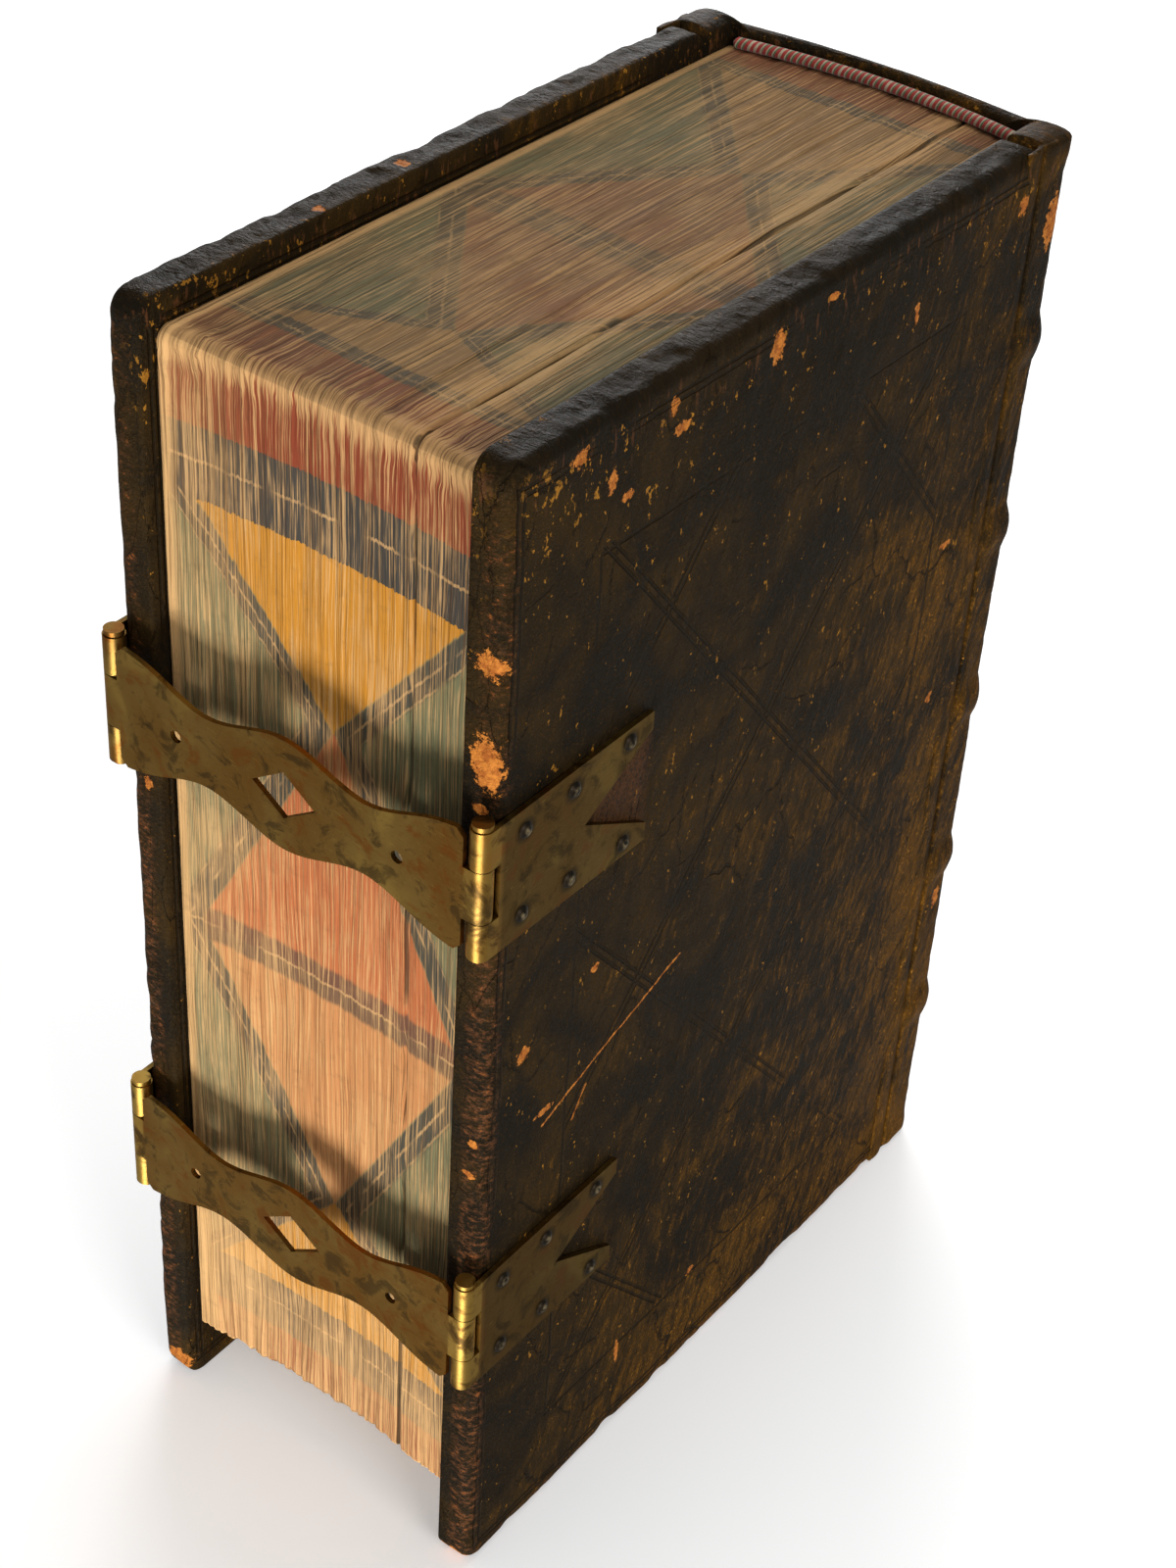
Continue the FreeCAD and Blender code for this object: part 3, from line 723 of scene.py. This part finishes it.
def block_piece():
    """The leaves as one closed surface.

    A rounded rectangle in Y and Z is carried across X. Its fore side is hollowed and its
    back is bowed as 1 - (x / half)^2, and each leaf stands in or out by its own small amount.
    """
    columns = 232
    x = np.linspace(-BLOCK_HALF, BLOCK_HALF, columns)
    corner = np.linspace(0, QUARTER_TURN, 9)[1:-1]
    # Each row: its side, and its share along that side or its angle round that corner
    sides = (("fore", np.linspace(0, 1, 112)), ("head corner", corner),
             ("head", np.linspace(0, 1, 96)), ("back", np.linspace(0, 1, 14)[1:-1]),
             ("tail", np.linspace(0, 1, 72)), ("tail corner", corner))
    rows = [(side, t) for side, places in sides for t in places]
    bow = 1 - (x / BLOCK_HALF) ** 2
    fore = BLOCK_FORE + FORE_HOLLOW * bow
    back = BACK_Y + SPINE_ROUND * bow
    r = PAGE_CORNER
    points = np.zeros((len(rows), columns, 3))
    outward = np.zeros((len(rows), columns, 2))
    for index, (side, t) in enumerate(rows):
        if side == "fore":
            y, z, out = fore, BLOCK_LOW + r + t * (BLOCK_HIGH - BLOCK_LOW - 2 * r), (-1, 0)
        elif side == "head corner":
            y = fore + r - r * math.cos(t)
            z, out = BLOCK_HIGH - r + r * math.sin(t), (-math.cos(t), math.sin(t))
        elif side == "head":
            y, z, out = fore + r + t * (back - fore - r), BLOCK_HIGH, (0, 1)
        elif side == "back":
            y, z, out = back, BLOCK_HIGH - t * (BLOCK_HIGH - BLOCK_LOW), (0, 0)
        elif side == "tail":
            y, z, out = back - t * (back - fore - r), BLOCK_LOW, (0, -1)
        else:
            y = fore + r - r * math.sin(t)
            z, out = BLOCK_LOW + r - r * math.cos(t), (-math.sin(t), -math.cos(t))
        points[index, :, 0] = x
        points[index, :, 1] = y
        points[index, :, 2] = z
        outward[index] = out
    # How far each point stands out: single leaves, gatherings, the ragged tail, the waves near
    # the head's corner and the place where the block has parted
    across = points[..., 0]
    run = points[..., 2] - points[..., 1]
    sample = np.stack([across, run * 0.012, run * 0], -1)
    leaf = lattice_noise(sample, 0.24, 11) * 0.09 + lattice_noise(sample, 0.9, 12) * 0.14
    gathering = lattice_noise(sample, 3.2, 13) * 0.22
    ragged = lattice_noise(sample, 0.5, 14) * 0.30
    low = smooth((BLOCK_LOW + 12 - points[..., 2]) / 12)
    side_fade = smooth((BLOCK_HALF - np.abs(across)) / 0.8)
    wave = rough_noise(np.stack([across * 0.8, run * 0.25, run * 0], -1), 4.0, 15)
    near_corner = smooth(1 - np.abs(run - (BLOCK_HIGH - BLOCK_FORE)) / 16)
    split = -0.9 * np.exp(-((across + wave * 0.3 - SPLIT_X) / 0.3) ** 2)
    shift = leaf + gathering + ragged * low + wave * near_corner * 0.16 + split
    shift = shift * side_fade - 0.12
    points[..., 1] += outward[..., 0] * shift
    points[..., 2] += outward[..., 1] * shift
    piece = make_piece("page_block", points, tube_faces(len(rows), columns, True))
    for side_face in (piece.data.polygons[-1], piece.data.polygons[-2]):
        side_face.material_index = 1
    return piece


# Leather over the boards

# The way over the rim: flat, round the outer edge, straight down the side, round the inner edge
RIM_FLAT = BOARD_CORNER - BOARD_EDGE
RIM_ARC = BOARD_EDGE * QUARTER_TURN
RIM_SIDE = BOARD - BOARD_EDGE - BOARD_INNER
RIM_LENGTH = RIM_FLAT + (BOARD_EDGE + BOARD_INNER) * QUARTER_TURN + RIM_SIDE


def rim_profile(length):
    """Reach and depth along the skin as it turns over the rim and onto the inner face."""
    a = np.clip((length - RIM_FLAT) / BOARD_EDGE, 0, QUARTER_TURN)
    s = np.clip(length - RIM_FLAT - RIM_ARC, 0, RIM_SIDE)
    b = np.clip((length - RIM_FLAT - RIM_ARC - RIM_SIDE) / BOARD_INNER, 0, QUARTER_TURN)
    reach = np.minimum(length, RIM_FLAT) + BOARD_EDGE * np.sin(a) - BOARD_INNER * (1 - np.cos(b))
    depth = BOARD_EDGE * (1 - np.cos(a)) + s + BOARD_INNER * np.sin(b)
    return reach, depth


def spread(half, over, inner_count, rim_count):
    """Sheet coordinates: even over the flat, and even again over the rim on both sides."""
    flat = np.linspace(-half, half, inner_count)
    rim = np.linspace(0, over, rim_count)[1:]
    return np.concatenate([-half - rim[::-1], flat, half + rim])


def board_skin(name, side):
    """Leather over one board.

    A sheet of points is laid over the outer face. What reaches past the inset rectangle is
    carried round the rim by its length, so that corners turn like a fan, and ends inside as
    a frame of turned-in leather round the paper.
    """
    half_y, half_z = (SPINE_Y - FORE_Y) / 2, HEIGHT / 2
    flat_y, flat_z = half_y - BOARD_CORNER, half_z - BOARD_CORNER
    over = RIM_LENGTH
    p, q = np.meshgrid(spread(flat_y, over, 190, 17), spread(flat_z, over, 290, 17), indexing="ij")
    dp, dq = p - np.clip(p, -flat_y, flat_y), q - np.clip(q, -flat_z, flat_z)
    length = np.maximum(np.abs(dp), np.abs(dq))
    straight = np.maximum(np.hypot(dp, dq), 1e-9)
    reach, depth = rim_profile(length)
    y = np.clip(p, -flat_y, flat_y) + dp / straight * reach
    z = np.clip(q, -flat_z, flat_z) + dq / straight * reach
    # The skin's outward direction, as a part along the depth and a part along the reach
    ahead = rim_profile(length + 0.05)
    tangent_reach, tangent_depth = ahead[0] - reach, ahead[1] - depth
    norm = np.maximum(np.hypot(tangent_reach, tangent_depth), 1e-9)
    out_w, out_r = tangent_reach / norm, tangent_depth / norm
    # Soft unevenness, flutes under the head edge and worn places on the rim
    place = np.stack([depth, y, z], -1) + side * 40
    soft = rough_noise(place, 14.0, 21) * 0.16 + rough_noise(place, 2.6, 25) * 0.06
    flutes = rough_noise(place * np.array([1, 1, 0.3]), 2.4, 33, 2)
    soft += flutes * 0.16 * smooth((q - (half_z - 18)) / 10) * smooth((over - length) / 4)
    worn = np.clip(rough_noise(place, 5.0, 29), 0, 1) * 0.45
    worn = worn * smooth((length - 0.5) / 2) * smooth((over - length) / 4)
    shift = soft * smooth((over - length) / 3) - worn - 0.10
    depth = depth - out_w * shift
    y = y + dp / straight * out_r * shift
    z = z + dq / straight * out_r * shift
    x = side * (OUTER_X - depth)
    centre_y = (SPINE_Y + FORE_Y) / 2
    points = np.stack([x, y + centre_y, z + half_z], -1)
    rim = smooth(length / 2.0) * smooth((over - length) / 3.0)
    rows, columns = points.shape[:2]
    faces = grid_faces(rows, columns)
    # The turned-in frame, from the sheet's rim to the paper, and a sunk face under the paper
    ring = ([(i, 0) for i in range(rows)] + [(rows - 1, j) for j in range(1, columns)]
            + [(i, columns - 1) for i in range(rows - 2, -1, -1)]
            + [(0, j) for j in range(columns - 2, 0, -1)])
    ring_index = np.array([i * columns + j for i, j in ring])
    start = points.reshape(-1, 3)[ring_index]
    inner_y = np.clip(start[:, 1], FORE_Y + TURN_IN, SPINE_Y - 1.0)
    inner_z = np.clip(start[:, 2], TURN_IN, HEIGHT - TURN_IN)
    inner = np.stack([np.full(len(ring), side * INNER_X), inner_y, inner_z], -1)
    sunk = inner + np.array([side * 0.35, 0, 0])
    frame_rows = [start + (inner - start) * t for t in np.linspace(0, 1, 7)[1:]] + [sunk]
    frame_points = np.concatenate(frame_rows)
    total = rows * columns
    count = len(ring)
    near = ring_index
    for row in range(len(frame_rows)):
        far = total + row * count + np.arange(count)
        quads = np.stack([near, far, np.roll(far, -1), np.roll(near, -1)], -1)
        faces += quads[:, ::-1].tolist()
        near = far
    faces.append(near.tolist())
    all_points = np.concatenate([points.reshape(-1, 3), frame_points])
    rims = np.concatenate([rim.ravel(), np.zeros(len(frame_points))])
    return merge_doubles(make_piece(name, all_points, faces, {"rim": rims}, flip=side > 0))


# Leather over the back

def band_bump(z):
    """Height from 0 to 1 over each raised band: a rounded ridge."""
    pitch = HEIGHT / (BAND_COUNT + 1)
    total = np.zeros_like(z)
    for number in range(1, BAND_COUNT + 1):
        away = np.abs(z - pitch * number) / (BAND_WIDTH / 2 + 0.8)
        total += np.where(away < 1, np.cos(away * QUARTER_TURN) ** 1.1, 0)
    return total


def back_curve():
    """The back in plan from the front joint to the rear one: outer line, inner line, normals.

    Outside, each side runs straight back from the joint and turns through a small arc into
    one wide arc through the crown. Inside, the line follows the text block.
    """
    corner_y = SHOULDER_Y + SHOULDER
    crown = BACK_Y + SPINE_ROUND + SPINE_SKIN
    rise = crown - corner_y
    wide = (OUTER_X ** 2 + rise ** 2) / (2 * rise)
    wide_y = crown - wide
    centre_x = OUTER_X - SHOULDER_RADIUS
    centre_y = wide_y + math.sqrt((wide - SHOULDER_RADIUS) ** 2 - centre_x ** 2)
    turn = math.atan2(centre_y - wide_y, centre_x)
    side = np.linspace(0, 1, 9)[:-1]
    small = np.linspace(0, turn, 10)[:-1]
    broad = np.linspace(turn, QUARTER_TURN, 52)
    x = np.concatenate([side * 0 + OUTER_X, centre_x + SHOULDER_RADIUS * np.cos(small),
                        wide * np.cos(broad)])
    y = np.concatenate([SHOULDER_Y + side * (centre_y - SHOULDER_Y),
                        centre_y + SHOULDER_RADIUS * np.sin(small), wide_y + wide * np.sin(broad)])
    slope = np.concatenate([side * 0, small, broad])
    inside = np.linspace(1, 0, len(small) + len(broad))
    inner_x = np.concatenate([side * 0 + BLOCK_HALF, BLOCK_HALF * inside])
    inner_y = np.concatenate([SHOULDER_Y + side * (BACK_Y - SHOULDER_Y),
                              BACK_Y + SPINE_ROUND * (1 - inside ** 2)])
    lines = np.stack([x, y, inner_x, inner_y, np.cos(slope), np.sin(slope)])
    mirror = lines[:, :-1] * np.array([-1, 1, -1, 1, -1, 1])[:, None]
    return np.concatenate([mirror, lines[:, ::-1]], 1)


def back_skin():
    """Leather over the back, with raised bands and rolled caps at head and tail.

    For each place along the back's line, a closed loop runs up the outside, over the head
    rim as a half round, down the inside and under the tail rim.
    """
    x, y, inner_x, inner_y, out_x, out_y = back_curve()
    rim_radius = 1.1
    up = np.linspace(rim_radius, HEIGHT - rim_radius, 300)
    turn = np.linspace(0, math.pi, 9)[1:-1]
    down = np.linspace(HEIGHT - rim_radius, rim_radius, 40)
    sag = CAP_SAG * smooth((OUTER_X - np.abs(x)) / 3) * smooth((y - SHOULDER_Y) / 3)
    share = np.concatenate([np.zeros(len(up)), (1 - np.cos(turn)) / 2, np.ones(len(down)),
                            (1 + np.cos(turn)) / 2])[:, None]
    z = np.concatenate([up, HEIGHT - rim_radius + rim_radius * np.sin(turn), down,
                        rim_radius - rim_radius * np.sin(turn)])[:, None] + x * 0
    z = z - sag * smooth((z - (HEIGHT - 12)) / 10)
    px = x + (inner_x - x) * share
    py = y + (inner_y - y) * share
    side = smooth((np.abs(x) - (OUTER_X - 5)) / 5)
    rise = BAND_RISE + (BAND_SIDE_RISE - BAND_RISE) * side
    near_joint = smooth((y - SHOULDER_Y) / 2.0)
    place = np.stack([px, py, z], -1)
    uneven = rough_noise(place, 9.0, 41) * 0.16 + rough_noise(place, 2.2, 45) * 0.07
    cap = smooth((z - (HEIGHT - 7)) / 5) * 0.35 + smooth((7 - z) / 5) * 0.3
    shift = (band_bump(z) * rise * near_joint + uneven - 0.05 + cap * near_joint) * (1 - share)
    points = np.stack([px + out_x * shift, py + out_y * shift, z], -1)
    faces = tube_faces(*z.shape, True)
    rim = smooth((z - (HEIGHT - 4)) / 3) + smooth((4 - z) / 3) + band_bump(z) * 0.7
    return make_piece("back_leather", points, faces, {"rim": rim * (1 - share)}, flip=True)


def joint_skin(name, side):
    """A strip of leather over one joint: a shallow groove in section, carried up the back."""
    z = np.linspace(0.4, HEIGHT - 0.4, 200)[:, None]
    t = np.linspace(0, 1, 15)[None, :]
    y_low, y_high = SPINE_Y - 4.5, SPINE_Y + 3.5
    y = y_low + (y_high - y_low) * t + z * 0
    groove = np.exp(-((y - SPINE_Y - 0.2) / 1.3) ** 2)
    ends = smooth(t / 0.2) * smooth((1 - t) / 0.2)
    on_back = smooth((y - SPINE_Y + 1.0) / 2.0)
    lift = 0.10 * ends - 0.06 * (1 - ends) - 0.55 * groove + band_bump(z) * BAND_SIDE_RISE * on_back
    outer_x = OUTER_X + lift
    inner_x = OUTER_X - 0.75 - 0.5 * groove + z * 0
    loop_x = np.concatenate([outer_x, inner_x[:, ::-1]], 1)
    loop_y = np.concatenate([y, y[:, ::-1]], 1)
    rows, columns = loop_x.shape
    points = np.stack([side * loop_x, loop_y, z + loop_x * 0], -1)
    faces = tube_faces(rows, columns, False)
    rim = np.concatenate([groove * 0.3, groove * 0], 1)
    return make_piece(name, points, faces, {"rim": rim}, flip=side < 0)


# Headbands

def wound_band(name, node, z_sign):
    """Thread wound over a core: a tube on the back's arc whose radius ripples at each turn."""
    low, high = (np.array(corner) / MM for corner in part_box(node))
    middle_z = (low[2] + high[2]) / 2
    radius = (high[2] - low[2]) / 2
    reach = high[0] - radius * 0.3
    count, around = 620, 14
    x = np.linspace(-reach, reach, count)[:, None]
    angle = np.linspace(0, FULL_TURN, around, endpoint=False)[None, :]
    bow = 1 - (x / BLOCK_HALF) ** 2
    y = BACK_Y + SPINE_ROUND * bow - radius - 0.03
    rise = 0.07
    ripple = np.abs(np.sin(x * math.pi / 0.35)) * rise
    round_end = np.sqrt(np.clip((reach - np.abs(x)) / 0.6, 0.02, 1))
    r = (radius - rise + ripple) * round_end
    points = np.stack([x + angle * 0, y - r * np.cos(angle),
                       middle_z + z_sign * r * np.sin(angle)], -1)
    faces = tube_faces(count, around, False)
    along = x + angle * 0 + np.cos(angle) * 0.12
    foot = np.clip(0.5 - np.sin(angle) * 0.5, 0, 1) + x * 0
    return make_piece(name, points, faces, {"along": along, "around": foot}, flip=z_sign > 0)


# Camera, lamps and floor

# The photo's camera: place in millimetres, turns in degrees, roll in radians, and its focal
# length as a share of the sensor's width
CAMERA_PLACE = (202.05, -287.07, 371.77)
CAMERA_AZIMUTH = 35.095
CAMERA_ELEVATION = 37.346
CAMERA_ROLL = 0.067
CAMERA_FOCAL_SHARE = 1.7644
LAMP_TARGET = (0, 0, 0.1)
# Each lamp: name, place and side in metres, power in watts. The key lamp is low in front.
LAMPS = (("key", (0.24, -0.74, -0.40), 0.30, 11), ("fill", (0.9, -0.35, 0.45), 0.5, 5),
         ("top", (-0.1, 0.3, 1.2), 0.6, 6), ("back", (-0.7, 0.9, 0.45), 0.5, 6))
WORLD_STRENGTH = 0.38
FLOOR_HALF = 3000


def set_camera():
    """The photo's view: its turn, its height and its slight roll."""
    a, e = math.radians(CAMERA_AZIMUTH), math.radians(CAMERA_ELEVATION)
    away = Vector((math.sin(a) * math.cos(e), -math.cos(a) * math.cos(e), math.sin(e)))
    right = (-away).cross(Vector((0, 0, 1))).normalized()
    up = right.cross(-away)
    right, up = (right * math.cos(CAMERA_ROLL) + up * math.sin(CAMERA_ROLL),
                 up * math.cos(CAMERA_ROLL) - right * math.sin(CAMERA_ROLL))
    data = bpy.data.cameras.new("camera")
    data.sensor_width = 36.0
    data.lens = CAMERA_FOCAL_SHARE * data.sensor_width
    data.clip_start, data.clip_end = 0.01, 20.0
    camera = bpy.data.objects.new("camera", data)
    turn = Matrix((right, up, away)).transposed().to_4x4()
    camera.matrix_world = Matrix.Translation(Vector(CAMERA_PLACE) * MM) @ turn
    bpy.context.scene.collection.objects.link(camera)
    bpy.context.scene.camera = camera


def add_lamp(name, place, size, power):
    data = bpy.data.lights.new(name, "AREA")
    data.size = size
    data.energy = power
    lamp = bpy.data.objects.new(name, data)
    lamp.location = place
    aim = Vector(LAMP_TARGET) - Vector(place)
    lamp.rotation_euler = aim.to_track_quat("-Z", "Y").to_euler()
    bpy.context.scene.collection.objects.link(lamp)


def floor_finish():
    """Pale for the light it gives back, and nearly white where the camera sees it."""
    look = Finish("pale_floor", Roughness=0.9, Specular_IOR_Level=0.05)
    path = look.tree.nodes.new("ShaderNodeLightPath")
    seen = Wire(look.tree, path.outputs["Is Camera Ray"])
    look.shader.inputs["Emission Strength"].default_value = 1.0
    put(look.tree, look.shader.inputs["Base Color"],
        look.mix(seen, (0.5, 0.5, 0.49), (0.85, 0.85, 0.85)))
    put(look.tree, look.shader.inputs["Emission Color"],
        look.mix(seen, (0, 0, 0), (0.30, 0.30, 0.30)))
    return look.material


def set_stage():
    """Floor, world and lamps. The floor lets the low key lamp's light through."""
    corners = [(-1, -1, 0), (1, -1, 0), (1, 1, 0), (-1, 1, 0)]
    floor = make_piece("floor", np.array(corners) * FLOOR_HALF, [[0, 1, 2, 3]])
    floor.data.materials.append(floor_finish())
    floor.visible_shadow = False
    world = bpy.data.worlds.new("studio")
    bpy.context.scene.world = world
    world.use_nodes = True
    background = world.node_tree.nodes["Background"]
    background.inputs["Color"].default_value = (1, 1, 1, 1)
    background.inputs["Strength"].default_value = WORLD_STRENGTH
    for lamp in LAMPS:
        add_lamp(*lamp)
    bpy.context.scene.view_settings.view_transform = "Standard"


# Put it together

RUBBED_EDGE = 0.12
SHARP_ANGLE = 50
SHEET_PARTS = ("anchor_plate", "catch_plate", "clasp_strap")
PIN_PARTS = ("anchor_pin", "catch_pin")


def coat(piece, material):
    """Gives a piece one material only."""
    piece.data.materials.clear()
    piece.data.materials.append(material)


def dress(piece, body, slot, material, *nodes):
    """Gives a new piece its material, its body and the CAD nodes that it stands for, which it
    hides. The slot is not used.
    """
    coat(piece, material)
    if body:
        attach(piece, body)
    if nodes:
        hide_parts(*nodes)


def soften_edges(node):
    """Rubs the sharp edges of a sheet metal part round."""
    bevel = node.modifiers.new("rubbed_edges", "BEVEL")
    bevel.width = RUBBED_EDGE * MM
    bevel.segments = 2
    bevel.limit_method = "ANGLE"
    bevel.angle_limit = math.radians(SHARP_ANGLE)
    bevel.harden_normals = True


def paint_nodes(material, *names):
    for name in names:
        coat(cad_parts[name], material)


set_camera()
set_stage()

pages = page_edge_finish()
paper = plain_paper_finish()
rear_hide = leather_finish("rear_leather", REAR_SCUFFS, REAR_EDGE_SCUFFS, SCRATCHES, True)
front_hide = leather_finish("front_leather", FRONT_SCUFFS, FRONT_EDGE_SCUFFS, (), True)
back_hide = leather_finish("back_leather", BACK_SCUFFS, (), (), False)
brass = brass_finish()
nail_metal = nail_finish()
thread = thread_finish()

leaves = block_piece()
side_faces = [face.material_index for face in leaves.data.polygons]
dress(leaves, "block", "painted_pages", pages, "text_block")
leaves.data.materials.append(paper)
leaves.data.polygons.foreach_set("material_index", side_faces)
dress(board_skin("rear_cover_leather", 1), "rear_cover", "dark_leather", rear_hide, "rear_leather")
dress(board_skin("front_cover_leather", -1), "front_cover", "dark_leather", front_hide,
      "front_leather")
dress(back_skin(), "block", "dark_leather", back_hide, "spine_leather")
for joint_name, joint_side, cover in (("rear_joint_leather", 1, "rear_cover"),
                                      ("front_joint_leather", -1, "front_cover")):
    strip = joint_skin(joint_name, joint_side)
    dress(strip, None, "dark_leather", back_hide)
    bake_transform(strip)
for band, way in (("head_band", 1), ("tail_band", -1)):
    tube = wound_band(band + "_thread", band, way)
    dress(tube, "block", "headband_thread", thread, band)
paint_nodes(paper, "front_pastedown", "rear_pastedown")
paint_nodes(wood_finish(), "front_board", "rear_board")
paint_nodes(cord_finish(), *["sewing_cord_%d" % n for n in range(1, BAND_COUNT + 1)])
for place_name in ("upper", "lower"):
    for part in SHEET_PARTS:
        soften_edges(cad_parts[part + "_" + place_name])
    paint_nodes(brass, *[part + "_" + place_name for part in SHEET_PARTS + PIN_PARTS])
    paint_nodes(nail_metal, "anchor_nails_" + place_name, "catch_nails_" + place_name)
